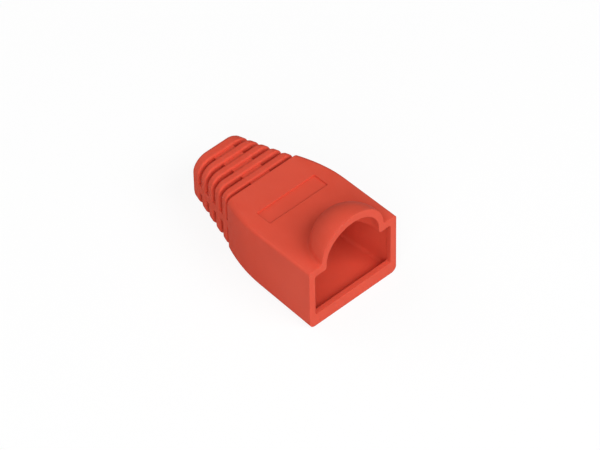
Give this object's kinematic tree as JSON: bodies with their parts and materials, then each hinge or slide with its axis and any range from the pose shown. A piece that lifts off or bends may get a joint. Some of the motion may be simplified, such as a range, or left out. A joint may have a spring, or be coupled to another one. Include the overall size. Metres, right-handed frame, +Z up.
{
  "type": "modular plug strain relief boot",
  "caption": "One-piece soft boot for an 8P8C modular plug: box mouth with a domed latch hood, label field, and a tapered ribbed neck that grips the cable.",
  "frame": {"origin": "bottom centre of the bounding box, on the plane of the flat underside", "axes": "+Y along the cable, from the plug's mouth towards the ribbed neck; +Z up, towards the hood; +X to the right when looking from the mouth along +Y"},
  "size_m": [0.0138, 0.0244, 0.0146],
  "materials": {
    "soft_pvc": "satin moulded soft PVC, red-orange"
  },
  "bodies": {
    "root": {"boot": "soft_pvc"}
  },
  "joints": []
}
